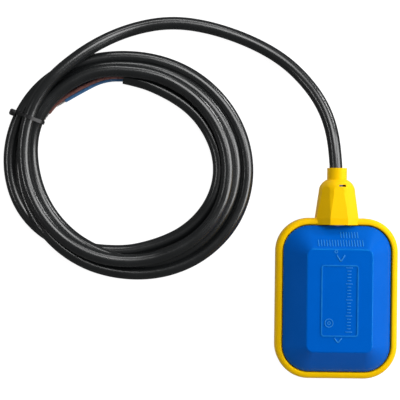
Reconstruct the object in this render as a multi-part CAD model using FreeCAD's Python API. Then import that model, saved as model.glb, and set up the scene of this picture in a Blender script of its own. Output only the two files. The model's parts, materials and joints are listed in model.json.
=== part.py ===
"""Cable float switch: a sealed blue float in a yellow rim frame, on two metres of coiled cable.

Millimetres, +Z up. The float lies on its rear panel, X runs across it and +Y runs along it
towards the cable. The origin is below the middle of the float's box.
"""
import FreeCAD, Part
import math
import os

from FreeCAD import Vector

# Float as a whole, built out from the switch case inside it
case_end_room = 17.0
case_side_room = 23.0
case_face_room = 6.5
frame_corner_radius = 22.0

# Rim frame
bead_width = 4.2
bead_height = 13.0
bead_outer_rounding = 3.0
bead_inner_rounding = 0.9
shell_groove = 0.7
web_thickness = 3.0
web_reach = 5.0
sunk = 0.5

# Neck, part of the rim frame
neck_root_width = 27.5
neck_top_width = 23.4
neck_body_length = 16.8
shoulder_length = 8.6
shoulder_sphere_radius = 9.4
shoulder_step = 0.4
collar_radius = 6.5
collar_length = 7.6
collar_root = 3.4
window_width = 4.5
window_height = 1.4
window_offset = 2.4
cavity_radius = 8.0
cable_clearance = 0.3
cut_over = 1.0

# Shells
shell_wall = 2.2
shell_rim_height = 3.0
panel_inset_x = 19.0
panel_inset_y = 19.5
panel_corner_radius = 4.5
panel_edge_rounding = 1.4
seal_thickness = 1.0
border_width = 24.0
border_length = 46.0
border_line = 0.9
border_radius = 2.0
border_height = 0.4
post_radius = 2.5
post_offset_x = 11.0
post_offset_y = 21.0

# Stack in the neck, from the plug inwards to the washer
spigot_radius = 5.5
spigot_wall = 1.1
spigot_clearance = 0.2
spigot_seal_width = 1.7
spigot_seal_length = 1.6
plug_flange_thickness = 2.5
plug_clearance = 0.1
washer_thickness = 1.2
washer_clearance = 0.15
grommet_length = 6.0
clamp_length = 6.5
clamp_split = 0.6

# Sealed switch case
case_width = 34.0
case_corner_radius = 4.0
case_wall = 1.8
wiring_room = 11.9
rocker_headroom = 4.3
lid_thickness = 2.0
gasket_thickness = 0.8
boss_radius = 2.5
boss_inset = 2.8
screw_radius = 0.85
screw_length = 7.0
screw_head_radius = 1.8
screw_head_height = 1.1
screw_head_gap = 0.1
screw_seat_gap = 0.05
screw_pass_gap = 0.2
screw_slot_width = 0.5
screw_slot_length = 2.4
fit_gap = 0.02

# Tilt ball and its track
ball_radius = 8.0
ball_travel = 12.0
ball_clearance = 0.15
ball_floor_gap = 0.9
end_clearance = 0.3
rail_inner_x = 4.0
rail_width = 2.4
stop_thickness = 1.8
stop_height_over_centre = 2.0

# Rocker, lifted by the ball as it rolls towards the cable
rocker_angle = 0.16
pivot_ahead_of_ball = 28.0
pivot_above_ball = 11.0
cam_clearance = 0.2
blade_width = 4.0
arm_thickness = 1.9
arm_overhang = 1.2
heel_reach = 4.0
hub_radius = 3.0
hub_length = 8.0
pin_radius = 1.0
pin_running_gap = 0.05
ear_gap = 0.5
ear_thickness = 2.5
nose_reach = 6.0
nose_drop = 2.5
nose_radius = 1.5
nose_clearance = 0.15

# Snap switch
switch_length = 19.8
switch_height = 10.2
switch_width = 6.4
switch_wall = 0.8
switch_behind_plunger = 6.6
plunger_radius = 1.1
plunger_stand = 1.6
plunger_tail = 2.95
plunger_flange_radius = 1.7
plunger_flange_thickness = 0.7
terminal_thickness = 0.5
terminal_width = 2.2
terminal_drop = 2.6
terminal_gap = 0.35
terminal_fit = 0.1
terminal_slot_gap = 0.05
terminal_steps = (-0.7, 5.3, 11.5)
tab_reach = 10.6
tab_hole_radius = 0.6
tab_hole_depth = 1.3
strip_thickness = 0.4
strip_gap = 0.2
open_contact_depth = 2.0
contact_radius = 1.1
contact_height = 0.6
contact_setback = 1.8
contact_rivet_radius = 0.5
blade_spring_width = 3.0
blade_spring_thickness = 0.3
blade_clearance = 0.2
blade_overhang = 0.6
blade_window_setback = 2.2
blade_window_end = 3.0
blade_tongue_setback = 4.0
mount_pad_gap = 0.6
mount_wall_gap = 0.1
mount_wall = 1.4
mount_lip = 1.0
mount_lip_gap = 0.05
cover_gap = 0.05
plunger_gap = 0.1

# Cable and its cores
cable_diameter = 8.5
core_diameter = 2.6
core_pitch = 2.8
arc_share = 0.45
strand_diameter = 1.6
strand_length = 7.0
jacket_tail = 0.8
lead_stub = 7.5
lane_gap = 1.8
core_bend_share = 0.5
core_switch_gap = 0.7

# Free route of the cable beyond its stub at the neck, chosen point by point
lead_route = [
    (-6.6, 108.5, 14.5),
    (-25.2, 134.4, 7.0),
    (-48.3, 150.9, 4.25),
    (-80.3, 163.0, 4.25),
    (-110.5, 167.4, 4.25),
    (-138.9, 161.9, 4.6),
    (-163.8, 149.0, 11.0),
    (-184.6, 132.4, 14.0),
]

# Coil of four turns, tied once
coil_centre = (-139.5, 69.8)
coil_height = 16.4
coil_rounding = 3.6
end_pocket_depth = 8.7
end_pocket_from = 91.5
end_pocket_to = 149.5
end_pocket_wedge = 60.0

# Reach of the coil's outer and inner edge from its centre, every 30 degrees from +X
coil_outer_reach = (85.0, 81.9, 78.1, 77.1, 80.1, 83.8, 83.8, 78.3, 75.1, 77.1, 81.1, 85.0)
coil_inner_reach = (57.8, 54.2, 51.0, 52.5, 55.5, 61.0, 59.3, 56.8, 56.6, 53.6, 53.2, 56.5)

# Ellipse that the cores follow where the last turn has ended
core_arc_centre = (-140.0, 69.5)
core_arc_semi = (58.3, 52.8)

# Far end of the cores: angle round the coil, distance outside that ellipse, height
brown_route = [
    (92.0, 5.05, 5.6),
    (103.0, 4.8, 4.4),
    (114.0, 4.8, 3.95),
    (125.0, 5.2, 3.95),
    (134.0, 5.8, 3.95),
]
blue_route = [
    (92.0, 2.7, 4.25),
    (103.0, 3.1, 2.0),
    (114.0, 3.3, 1.45),
    (124.0, 3.4, 1.4),
    (132.0, 3.6, 1.4),
]
black_route = [
    (92.0, 5.05, 2.9),
    (103.0, 6.1, 1.6),
    (114.0, 6.25, 1.4),
    (125.0, 6.4, 1.4),
    (134.0, 6.6, 1.4),
]

# Cable tie: middle of the strap over the bundle, and the way that it points outwards in degrees
tie_place = (-203.4, 100.2)
tie_direction = 159.4
tie_block_length = 60.0
tie_width = 2.6
tie_thickness = 1.1
tie_clearance = 0.1
tie_head_length = 4.6
tie_head_width = 4.4
tie_head_height = 5.4

# Levels and stations that follow from the sizes above
case_bottom_z = case_face_room
case_floor_z = case_bottom_z + case_wall
ball_z = case_floor_z + ball_floor_gap + ball_radius
pivot_z = ball_z + pivot_above_ball
case_lid_top_z = pivot_z + rocker_headroom + lid_thickness
case_rim_z = case_lid_top_z - lid_thickness - gasket_thickness
float_thickness = case_lid_top_z + case_face_room
mid_z = float_thickness / 2
ball_room = end_clearance + ball_radius
switch_start = ball_room + pivot_ahead_of_ball + nose_reach - switch_behind_plunger
case_length = switch_start + switch_length + wiring_room + 2 * case_wall
frame_length = case_length + 2 * case_end_room
frame_width = case_width + 2 * case_side_room
float_length = frame_length + neck_body_length + shoulder_length + collar_length
panel_width = frame_width - 2 * panel_inset_x
panel_length = frame_length - 2 * panel_inset_y
foot_y = -float_length / 2
mouth_y = float_length / 2
frame_top_y = foot_y + frame_length
frame_centre_y = foot_y + frame_length / 2
opening_width = frame_width - 2 * bead_width
opening_length = frame_length - 2 * bead_width
opening_radius = frame_corner_radius - bead_width
opening_top_y = frame_centre_y + opening_length / 2
shell_width = opening_width - 2 * shell_groove
shell_length = opening_length - 2 * shell_groove
shell_radius = opening_radius - shell_groove
web_top_z = mid_z + web_thickness / 2
shell_foot_z = web_top_z + seal_thickness
shell_knuckle_z = shell_foot_z + shell_rim_height
cavity_end_y = frame_top_y + neck_body_length + shoulder_length - collar_root
washer_y = cavity_end_y - washer_thickness
grommet_y = washer_y - grommet_length
clamp_y = grommet_y - clamp_length
cable_inner_end_y = clamp_y - jacket_tail
case_centre_y = frame_centre_y
case_back_y = case_centre_y - case_length / 2
case_front_y = case_centre_y + case_length / 2
ball_y = case_back_y + case_wall + ball_room
pivot_y = ball_y + pivot_ahead_of_ball
nose_y = pivot_y + nose_reach
nose_bottom_z = pivot_z - nose_drop - nose_radius
plunger_top_z = nose_bottom_z - nose_clearance
switch_top_z = plunger_top_z - plunger_stand
switch_bottom_z = switch_top_z - switch_height
switch_back_y = nose_y - switch_behind_plunger
switch_front_y = switch_back_y + switch_length
tab_top_z = switch_bottom_z - terminal_gap
lane_x = tab_reach - lane_gap
core_bend_y = switch_front_y + wiring_room * core_bend_share
lead_start = [(0.0, cable_inner_end_y, mid_z), (0.0, mouth_y + lead_stub, mid_z)]


def box(x0, x1, y0, y1, z0, z1):
    return Part.makeBox(x1 - x0, y1 - y0, z1 - z0, Vector(x0, y0, z0))


def rod_x(radius, x0, x1, y, z):
    return Part.makeCylinder(radius, x1 - x0, Vector(x0, y, z), Vector(1, 0, 0))


def rod_y(radius, y0, y1, x=0.0, z=mid_z):
    return Part.makeCylinder(radius, y1 - y0, Vector(x, y0, z), Vector(0, 1, 0))


def rod_z(radius, z0, z1, x, y):
    return Part.makeCylinder(radius, z1 - z0, Vector(x, y, z0), Vector(0, 0, 1))


def fuse_all(shapes):
    whole = shapes[0].multiFuse(shapes[1:])
    return whole.removeSplitter()


def rounded_outline(width, length, radius, centre_y, z):
    """Rectangle with round corners, lying flat at height z."""
    x = width / 2
    y = length / 2
    corners = [(x - radius, y - radius, 0), (radius - x, y - radius, 90)]
    corners += [(radius - x, radius - y, 180), (x - radius, radius - y, 270)]
    arcs = []
    for corner_x, corner_y, start in corners:
        points = []
        for angle in (start, start + 45, start + 90):
            turn = math.radians(angle)
            px = corner_x + radius * math.cos(turn)
            py = centre_y + corner_y + radius * math.sin(turn)
            points.append(Vector(px, py, z))
        arcs.append(Part.Arc(points[0], points[1], points[2]))
    edges = []
    for index, arc in enumerate(arcs):
        following = arcs[(index + 1) % 4]
        edges.append(arc.toShape())
        edges.append(Part.LineSegment(arc.EndPoint, following.StartPoint).toShape())
    return Part.Wire(edges)


def plate(width, length, radius, centre_y, z0, z1):
    outline = rounded_outline(width, length, radius, centre_y, z0)
    return Part.Face(outline).extrude(Vector(0, 0, z1 - z0))


def ring(width, length, radius, inset, centre_y, z0, z1):
    """Flat rounded ring whose wall is inset wide."""
    outer = plate(width, length, radius, centre_y, z0, z1)
    hole = plate(width - 2 * inset, length - 2 * inset, radius - inset, centre_y, z0, z1)
    return outer.cut(hole)


def mirrored(shape):
    """The same piece on the other side of the float's middle plane."""
    return shape.mirror(Vector(0, 0, mid_z), Vector(0, 0, 1))


def level_edges(shape, z):
    flat = [edge for edge in shape.Edges if edge.BoundBox.ZLength < 1e-4]
    return [edge for edge in flat if abs(edge.BoundBox.ZMin - z) < 1e-4]


def octagon(width, y):
    """Regular octagon across the neck, width across its flats."""
    reach = width / 2 / math.cos(math.pi / 8)
    points = []
    for step in range(9):
        turn = math.pi / 8 + step * math.pi / 4
        points.append(Vector(reach * math.cos(turn), y, mid_z + reach * math.sin(turn)))
    return Part.makePolygon(points)


def neck_envelope():
    """Turned outline of the neck: straight body, round shoulder, collar."""
    shoulder_start_y = frame_top_y + neck_body_length
    shoulder_end_y = shoulder_start_y + shoulder_length
    root_radius = neck_root_width / 2 / math.cos(math.pi / 8)
    top_radius = neck_top_width / 2 + shoulder_step
    arc_centre_radius = top_radius - shoulder_sphere_radius
    middle_angle = math.asin(shoulder_length / shoulder_sphere_radius) / 2
    middle_radius = arc_centre_radius + shoulder_sphere_radius * math.cos(middle_angle)
    middle_y = shoulder_start_y + shoulder_sphere_radius * math.sin(middle_angle)
    end_drop = math.sqrt(shoulder_sphere_radius ** 2 - shoulder_length ** 2)
    end_radius = arc_centre_radius + end_drop
    start = Vector(top_radius, shoulder_start_y, mid_z)
    middle = Vector(middle_radius, middle_y, mid_z)
    end = Vector(end_radius, shoulder_end_y, mid_z)
    before = [Vector(0, opening_top_y, mid_z), Vector(root_radius, opening_top_y, mid_z)]
    before += [Vector(root_radius, frame_top_y, mid_z), start]
    after = [end, Vector(collar_radius, shoulder_end_y, mid_z), Vector(collar_radius, mouth_y, mid_z)]
    after += [Vector(0, mouth_y, mid_z), before[0]]
    edges = Part.makePolygon(before).Edges
    edges.append(Part.Arc(start, middle, end).toShape())
    edges += Part.makePolygon(after).Edges
    face = Part.Face(Part.Wire(edges))
    return face.revolve(Vector(0, 0, mid_z), Vector(0, 1, 0), 360)


def make_neck():
    taper = (neck_root_width - neck_top_width) / neck_body_length
    prism_end_y = mouth_y + cut_over
    end_width = neck_root_width - taper * (prism_end_y - frame_top_y)
    foot = octagon(neck_root_width, opening_top_y)
    root = octagon(neck_root_width, frame_top_y)
    end = octagon(end_width, prism_end_y)
    prism = Part.makeLoft([foot, root, end], True, True)
    shoulder_end_y = frame_top_y + neck_body_length + shoulder_length
    faceted = prism.common(neck_envelope())
    collar = rod_y(collar_radius, shoulder_end_y - sunk, mouth_y)
    return faceted.fuse(collar)


def opening_edges(bead, z):
    """Edges of the bead's inner wall at one level."""
    reach_x = opening_width / 2 + sunk
    reach_y = opening_length / 2 + sunk
    found = []
    for edge in level_edges(bead, z):
        bounds = edge.BoundBox
        in_x = -reach_x < bounds.XMin and bounds.XMax < reach_x
        in_y = frame_centre_y - reach_y < bounds.YMin and bounds.YMax < frame_centre_y + reach_y
        if in_x and in_y:
            found.append(edge)
    return found


def make_rim_frame():
    bead_top_z = mid_z + bead_height / 2
    bead_bottom_z = mid_z - bead_height / 2
    corner = frame_corner_radius
    outer = plate(frame_width, frame_length, corner, frame_centre_y, bead_bottom_z, bead_top_z)
    round_edges = level_edges(outer, bead_top_z) + level_edges(outer, bead_bottom_z)
    outer = outer.makeFillet(bead_outer_rounding, round_edges)
    corner = opening_radius
    opening = plate(opening_width, opening_length, corner, frame_centre_y, bead_bottom_z, bead_top_z)
    bead = outer.cut(opening)
    mouth_edges = opening_edges(bead, bead_top_z) + opening_edges(bead, bead_bottom_z)
    bead = bead.makeFillet(bead_inner_rounding, mouth_edges)
    web_width = opening_width + 2 * sunk
    web_length = opening_length + 2 * sunk
    corner = opening_radius + sunk
    web_z = mid_z - web_thickness / 2
    web = ring(web_width, web_length, corner, web_reach + sunk, frame_centre_y, web_z, web_top_z)
    frame = fuse_all([bead, web, make_neck()])
    frame = frame.cut(rod_y(cavity_radius, opening_top_y - web_reach - cut_over, cavity_end_y))
    cable_hole_radius = cable_diameter / 2 + cable_clearance
    frame = frame.cut(rod_y(cable_hole_radius, cavity_end_y - cut_over, mouth_y + cut_over))
    window_x = window_offset - window_width / 2
    window_y = cavity_end_y - window_height
    window = box(window_x, window_x + window_width, window_y, cavity_end_y, mid_z, float_thickness)
    return frame.cut(window)


def slope_sections(inset):
    """Three outlines of the shell, pushed inwards by a wall of the given thickness."""
    rise = float_thickness - shell_knuckle_z
    run_x = (shell_width - panel_width) / 2
    run_y = (shell_length - panel_length) / 2
    side_x = inset * math.hypot(rise, run_x) / rise
    side_y = inset * math.hypot(rise, run_y) / rise
    knuckle_z = shell_knuckle_z - (side_x - inset) * rise / run_x
    top_z = float_thickness - inset
    top_width = panel_width + 2 * (inset * run_x / rise - side_x)
    top_length = panel_length + 2 * (inset * run_y / rise - side_y)
    width = shell_width - 2 * inset
    length = shell_length - 2 * inset
    radius = shell_radius - inset
    top_radius = max(panel_corner_radius - inset, 1.0)
    foot = rounded_outline(width, length, radius, frame_centre_y, shell_foot_z)
    knuckle = rounded_outline(width, length, radius, frame_centre_y, knuckle_z)
    top = rounded_outline(top_width, top_length, top_radius, frame_centre_y, top_z)
    return [foot, knuckle, top]


def make_shell():
    """Dished shell with sloping sides and a flat panel, open towards the middle plane."""
    outer = Part.makeLoft(slope_sections(0.0), True, True)
    outer = outer.makeFillet(panel_edge_rounding, level_edges(outer, float_thickness))
    hollow = Part.makeLoft(slope_sections(shell_wall), True, True)
    shell = outer.cut(hollow)
    sunk_z = float_thickness - shell_wall / 2
    posts = []
    for side_x in (-post_offset_x, post_offset_x):
        for side_y in (-post_offset_y, post_offset_y):
            y = case_centre_y + side_y
            posts.append(rod_z(post_radius, case_lid_top_z, sunk_z, side_x, y))
    shell = fuse_all([shell] + posts)
    return shell.cut(spigot_notch())


def make_front_shell():
    """The front shell is the same moulding with a thin raised border on its panel."""
    sunk_z = float_thickness - shell_wall / 2
    top_z = float_thickness + border_height
    size = (border_width, border_length, border_radius, border_line)
    border = ring(*size, frame_centre_y, sunk_z, top_z)
    return fuse_all([make_shell(), border])


def spigot_notch():
    return rod_y(spigot_radius + spigot_clearance, case_front_y, opening_top_y + cut_over)


def make_seal():
    size = (shell_width, shell_length, shell_radius, shell_wall)
    return ring(*size, frame_centre_y, web_top_z, shell_foot_z).cut(spigot_notch())


def make_neck_plug():
    """Stepped bush that closes the neck and carries the cores into the case."""
    start_y = case_front_y - case_wall
    end_y = opening_top_y + plug_flange_thickness
    flange = rod_y(cavity_radius - plug_clearance, opening_top_y, end_y)
    spigot = rod_y(spigot_radius, start_y, opening_top_y)
    bore = rod_y(spigot_radius - spigot_wall, start_y, end_y)
    return flange.fuse(spigot).cut(bore)


def make_spigot_seal():
    end_y = case_front_y + spigot_seal_length
    outer = rod_y(spigot_radius + spigot_seal_width, case_front_y, end_y)
    return outer.cut(rod_y(spigot_radius, case_front_y, end_y))


def core_heights():
    return (mid_z - core_pitch, mid_z, mid_z + core_pitch)


def make_resin_plug():
    start_y = opening_top_y + plug_flange_thickness
    plug = rod_y(cavity_radius - plug_clearance, start_y, cable_inner_end_y)
    for z in core_heights():
        plug = plug.cut(rod_y(core_diameter / 2, start_y, cable_inner_end_y, 0.0, z))
    return plug


def make_neck_stack():
    """Washer, rubber grommet and split clamp, stacked down from the end of the neck's cavity."""
    outer_radius = cavity_radius - plug_clearance
    jacket_radius = cable_diameter / 2
    hole = rod_y(jacket_radius + washer_clearance, washer_y, cavity_end_y)
    washer = rod_y(outer_radius, washer_y, cavity_end_y).cut(hole)
    grommet = rod_y(outer_radius, grommet_y, washer_y).cut(rod_y(jacket_radius, grommet_y, washer_y))
    collet = rod_y(outer_radius, clamp_y, grommet_y).cut(rod_y(jacket_radius, clamp_y, grommet_y))
    reach = cavity_radius + cut_over
    right = box(clamp_split / 2, reach, clamp_y, grommet_y, mid_z - reach, mid_z + reach)
    left = box(-reach, -clamp_split / 2, clamp_y, grommet_y, mid_z - reach, mid_z + reach)
    return washer, grommet, collet.common(left), collet.common(right)


def boss_positions():
    x = case_width / 2 - case_wall - boss_inset
    y = case_length / 2 - case_wall - boss_inset
    return [(side_x * x, case_centre_y + side_y * y) for side_x in (-1, 1) for side_y in (-1, 1)]


def make_ear(side):
    """Bearing ear for the rocker's pin, on the left or right of the hub."""
    inner_x = hub_length / 2 + ear_gap
    outer_x = inner_x + ear_thickness
    x0 = min(side * inner_x, side * outer_x)
    x1 = max(side * inner_x, side * outer_x)
    post = box(x0, x1, pivot_y - hub_radius, pivot_y + hub_radius, case_floor_z, pivot_z)
    top = rod_x(hub_radius, x0, x1, pivot_y, pivot_z)
    hole = rod_x(pin_radius + fit_gap, x0, x1, pivot_y, pivot_z)
    return post.fuse(top).cut(hole)


def terminal_stations():
    """Positions along the switch of its three terminals: closed, open, common."""
    return [nose_y + step for step in terminal_steps]


def make_switch_mount():
    """Pads under the snap switch and two hooked walls that hold it down."""
    half = switch_width / 2
    back, middle, front = terminal_stations()
    spare = terminal_width / 2 + mount_pad_gap
    pads = [box(-half, half, switch_back_y + sunk, back - spare, case_floor_z, switch_bottom_z)]
    pads.append(box(-half, half, back + spare, middle - spare, case_floor_z, switch_bottom_z))
    pads.append(box(-half, half, middle + spare, front - spare, case_floor_z, switch_bottom_z))
    wall_in = half + mount_wall_gap
    wall_out = wall_in + mount_wall
    lip_z = switch_top_z + mount_lip_gap
    lip_top_z = lip_z + mount_lip
    for side, y0, y1 in ((-1, back + spare, front - spare), (1, middle + spare, front - spare)):
        x0 = min(side * wall_in, side * wall_out)
        x1 = max(side * wall_in, side * wall_out)
        pads.append(box(x0, x1, y0, y1, case_floor_z, lip_top_z))
        lip_in = half - mount_lip
        x0 = min(side * lip_in, side * wall_out)
        x1 = max(side * lip_in, side * wall_out)
        pads.append(box(x0, x1, y0, y1, lip_z, lip_top_z))
    return pads


def make_switch_case():
    corner = case_corner_radius
    outer = plate(case_width, case_length, corner, case_centre_y, case_bottom_z, case_rim_z)
    inner_width = case_width - 2 * case_wall
    inner_length = case_length - 2 * case_wall
    corner = case_corner_radius - case_wall
    hollow = plate(inner_width, inner_length, corner, case_centre_y, case_floor_z, case_rim_z)
    tray = outer.cut(hollow)
    rail_top_z = ball_z - math.sqrt((ball_radius + ball_clearance) ** 2 - rail_inner_x ** 2)
    stop_y = ball_y + ball_travel + ball_radius + end_clearance
    foot_z = case_floor_z - sunk
    rail_back_y = case_back_y + case_wall / 2
    features = []
    for side in (-1, 1):
        x0 = min(side * rail_inner_x, side * (rail_inner_x + rail_width))
        features.append(box(x0, x0 + rail_width, rail_back_y, stop_y, foot_z, rail_top_z))
        features.append(make_ear(side))
    stop_x = case_width / 2 - case_wall / 2
    stop_top_z = ball_z + stop_height_over_centre
    features.append(box(-stop_x, stop_x, stop_y, stop_y + stop_thickness, foot_z, stop_top_z))
    features += make_switch_mount()
    boss_top_z = case_rim_z + gasket_thickness
    for x, y in boss_positions():
        features.append(rod_z(boss_radius, foot_z, boss_top_z, x, y))
    tray = fuse_all([tray] + features)
    for x, y in boss_positions():
        tray = tray.cut(rod_z(screw_radius + fit_gap, boss_top_z - screw_length, boss_top_z, x, y))
    return tray.cut(rod_y(spigot_radius + plug_clearance, case_front_y - case_wall, case_front_y))


def make_case_gasket():
    top_z = case_rim_z + gasket_thickness
    return ring(case_width, case_length, case_corner_radius, case_wall, case_centre_y, case_rim_z, top_z)


def make_case_lid():
    under_z = case_lid_top_z - lid_thickness
    corner = case_corner_radius
    lid = plate(case_width, case_length, corner, case_centre_y, under_z, case_lid_top_z)
    seat_z = case_lid_top_z - screw_head_height - screw_seat_gap
    for x, y in boss_positions():
        lid = lid.cut(rod_z(screw_radius + screw_pass_gap, under_z, case_lid_top_z, x, y))
        lid = lid.cut(rod_z(screw_head_radius + screw_head_gap, seat_z, case_lid_top_z, x, y))
    return lid


def make_case_screws():
    screws = []
    head_z = case_lid_top_z - screw_seat_gap - screw_head_height
    slot_z = head_z + screw_head_height / 2
    half_width = screw_slot_width / 2
    half_length = screw_slot_length / 2
    for x, y in boss_positions():
        head = rod_z(screw_head_radius, head_z, head_z + screw_head_height, x, y)
        shank = rod_z(screw_radius, head_z - screw_length, head_z, x, y)
        around = (x - half_width, x + half_width, y - half_length, y + half_length)
        slot = box(*around, slot_z, case_lid_top_z)
        screws.append(head.fuse(shank).cut(slot))
    return Part.makeCompound(screws)


def make_ball():
    return Part.makeSphere(ball_radius, Vector(0, ball_y, ball_z))


def cam_point(travel):
    """Point of the rocker's cam over the ball, seen from the rocker when the ball has rolled so far."""
    turn = rocker_angle * travel / ball_travel
    rate = rocker_angle / ball_travel
    y = travel - pivot_ahead_of_ball
    z = -pivot_above_ball
    centre_y = y * math.cos(turn) - z * math.sin(turn)
    centre_z = y * math.sin(turn) + z * math.cos(turn)
    slope_y = math.cos(turn) - rate * centre_z
    slope_z = math.sin(turn) + rate * centre_y
    size = math.hypot(slope_y, slope_z)
    reach = ball_radius + cam_clearance
    point_y = pivot_y + centre_y - reach * slope_z / size
    point_z = pivot_z + centre_z + reach * slope_y / size
    return Vector(0, point_y, point_z), Vector(0, slope_y / size, slope_z / size)


def make_rocker():
    """Cam arm over the ball, hub on the pin and a round nose over the plunger."""
    first, first_direction = cam_point(0.0)
    middle, _ = cam_point(ball_travel / 2)
    last, last_direction = cam_point(ball_travel)
    tip = first - first_direction * arm_overhang
    tip_top = tip + Vector(0, 0, arm_thickness)
    heel = last + last_direction * heel_reach
    hub_under = Vector(0, pivot_y, pivot_z - hub_radius / 2)
    hub_over = Vector(0, pivot_y - hub_radius / 2, pivot_z + hub_radius * 0.8)
    edges = [Part.LineSegment(tip, first).toShape(), Part.Arc(first, middle, last).toShape()]
    edges += Part.makePolygon([last, heel, hub_under, hub_over, tip_top, tip]).Edges
    arm = Part.Face(Part.Wire(edges)).extrude(Vector(blade_width, 0, 0))
    arm.translate(Vector(-blade_width / 2, 0, 0))
    hub = rod_x(hub_radius, -hub_length / 2, hub_length / 2, pivot_y, pivot_z)
    nose_z = pivot_z - nose_drop
    nose = rod_x(nose_radius, -blade_width / 2, blade_width / 2, nose_y, nose_z)
    web_points = [Vector(0, pivot_y, pivot_z + hub_radius * 0.9)]
    web_points.append(Vector(0, nose_y + nose_radius * 0.8, nose_z + nose_radius * 0.6))
    web_points.append(Vector(0, nose_y - nose_radius * 0.6, nose_z - nose_radius * 0.8))
    web_points.append(Vector(0, pivot_y, pivot_z - hub_radius * 0.9))
    web_points.append(web_points[0])
    web = Part.Face(Part.makePolygon(web_points)).extrude(Vector(blade_width, 0, 0))
    web.translate(Vector(-blade_width / 2, 0, 0))
    rocker = fuse_all([arm, hub, nose, web])
    return rocker.cut(rod_x(pin_radius + pin_running_gap, -hub_length, hub_length, pivot_y, pivot_z))


def make_rocker_pin():
    reach = hub_length / 2 + ear_gap + ear_thickness
    return rod_x(pin_radius, -reach, reach, pivot_y, pivot_z)


def make_switch_body():
    half = switch_width / 2
    wall = switch_wall
    body = box(-half, half, switch_back_y, switch_front_y, switch_bottom_z, switch_top_z)
    along = (switch_back_y + wall, switch_front_y - wall)
    body = body.cut(box(-half, half - wall, *along, switch_bottom_z + wall, switch_top_z - wall))
    hole_radius = plunger_radius + plunger_gap
    body = body.cut(rod_z(hole_radius, switch_top_z - 2 * wall, switch_top_z, 0, nose_y))
    slot = terminal_width / 2 + terminal_fit
    thick = terminal_thickness / 2 + terminal_slot_gap
    slot_top_z = switch_bottom_z + 2 * wall
    for y in terminal_stations():
        body = body.cut(box(-slot, slot, y - thick, y + thick, switch_bottom_z, slot_top_z))
    return body


def make_switch_cover():
    x0 = -switch_width / 2
    inset = switch_wall + cover_gap
    y0 = switch_back_y + inset
    y1 = switch_front_y - inset
    return box(x0, x0 + switch_wall, y0, y1, switch_bottom_z + inset, switch_top_z - inset)


def make_plunger():
    bottom_z = switch_top_z - plunger_tail
    stem = rod_z(plunger_radius, bottom_z, plunger_top_z, 0, nose_y)
    flange_top_z = switch_top_z - switch_wall - plunger_gap
    flange_z = flange_top_z - plunger_flange_thickness
    flange = rod_z(plunger_flange_radius, flange_z, flange_top_z, 0, nose_y)
    return stem.fuse(flange).removeSplitter()


def plunger_travel():
    """How far the nose comes down when the rocker turns through its whole angle."""
    return nose_reach * math.sin(rocker_angle) - nose_drop * (1 - math.cos(rocker_angle))


def blade_level():
    """Underside of the blade spring, just below the plunger's tail at the end of its travel."""
    pressed_z = switch_top_z - plunger_tail - plunger_travel()
    return pressed_z - blade_clearance - blade_spring_thickness


def make_terminal(y, top_z):
    """Blanked terminal: a solder tab beside the switch and a leg up into it."""
    half = terminal_thickness / 2
    width = terminal_width / 2
    tab = box(-width, tab_reach, y - half, y + half, tab_top_z - terminal_drop, tab_top_z)
    hole_z = tab_top_z - tab_hole_depth
    tab = tab.cut(rod_y(tab_hole_radius, y - half, y + half, lane_x, hole_z))
    leg = box(-width, width, y - half, y + half, tab_top_z, top_z)
    return tab.fuse(leg)


def contact_y():
    return switch_back_y + switch_wall + contact_setback


def make_terminals():
    closed_y, open_y, common_y = terminal_stations()
    half = terminal_thickness / 2
    width = terminal_width / 2
    level = blade_level()
    strip = strip_thickness
    back = switch_back_y + switch_wall + terminal_fit
    common = make_terminal(common_y, level)
    open_z = level - open_contact_depth
    open_arm = box(-width, width, contact_y() - width, open_y + half, open_z - strip, open_z)
    normally_open = make_terminal(open_y, open_z - strip).fuse(open_arm)
    low_z = switch_bottom_z + switch_wall + strip_gap
    high_z = switch_top_z - switch_wall - strip_gap
    floor_strip = box(-width, width, back, closed_y + half, low_z, low_z + strip)
    upright = box(-width, width, back, back + strip, low_z, high_z)
    top_strip = box(-width, width, back, contact_y() + width, high_z - strip, high_z)
    closed_parts = [make_terminal(closed_y, low_z), floor_strip, upright, top_strip]
    normally_closed = fuse_all(closed_parts)
    lower = rod_z(contact_radius, open_z, open_z + contact_height, 0, contact_y())
    upper_z = high_z - strip - contact_height
    upper = rod_z(contact_radius, upper_z, high_z - strip, 0, contact_y())
    contacts = Part.makeCompound([lower, upper])
    return common.removeSplitter(), normally_open.removeSplitter(), normally_closed, contacts


def make_snap_blade():
    _, _, common_y = terminal_stations()
    level = blade_level()
    half = blade_spring_width / 2
    top = level + blade_spring_thickness
    start_y = contact_y() - half * blade_overhang
    end_y = common_y - blade_window_end
    blade = box(-half, half, start_y, common_y + blade_overhang, level, top)
    window = box(-half / 2, half / 2, contact_y() + blade_window_setback, end_y, level, top)
    tongue = box(-half / 4, half / 4, contact_y() + blade_tongue_setback, end_y, level, top)
    blade = blade.cut(window).fuse(tongue).removeSplitter()
    return blade.cut(rod_z(contact_rivet_radius, level, top, 0, contact_y()))


def make_moving_contact():
    level = blade_level()
    top = level + blade_spring_thickness
    lower = rod_z(contact_radius, level - contact_height, level, 0, contact_y())
    upper = rod_z(contact_radius, top, top + contact_height, 0, contact_y())
    rivet = rod_z(contact_rivet_radius, level, top, 0, contact_y())
    return fuse_all([lower, rivet, upper])


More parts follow.
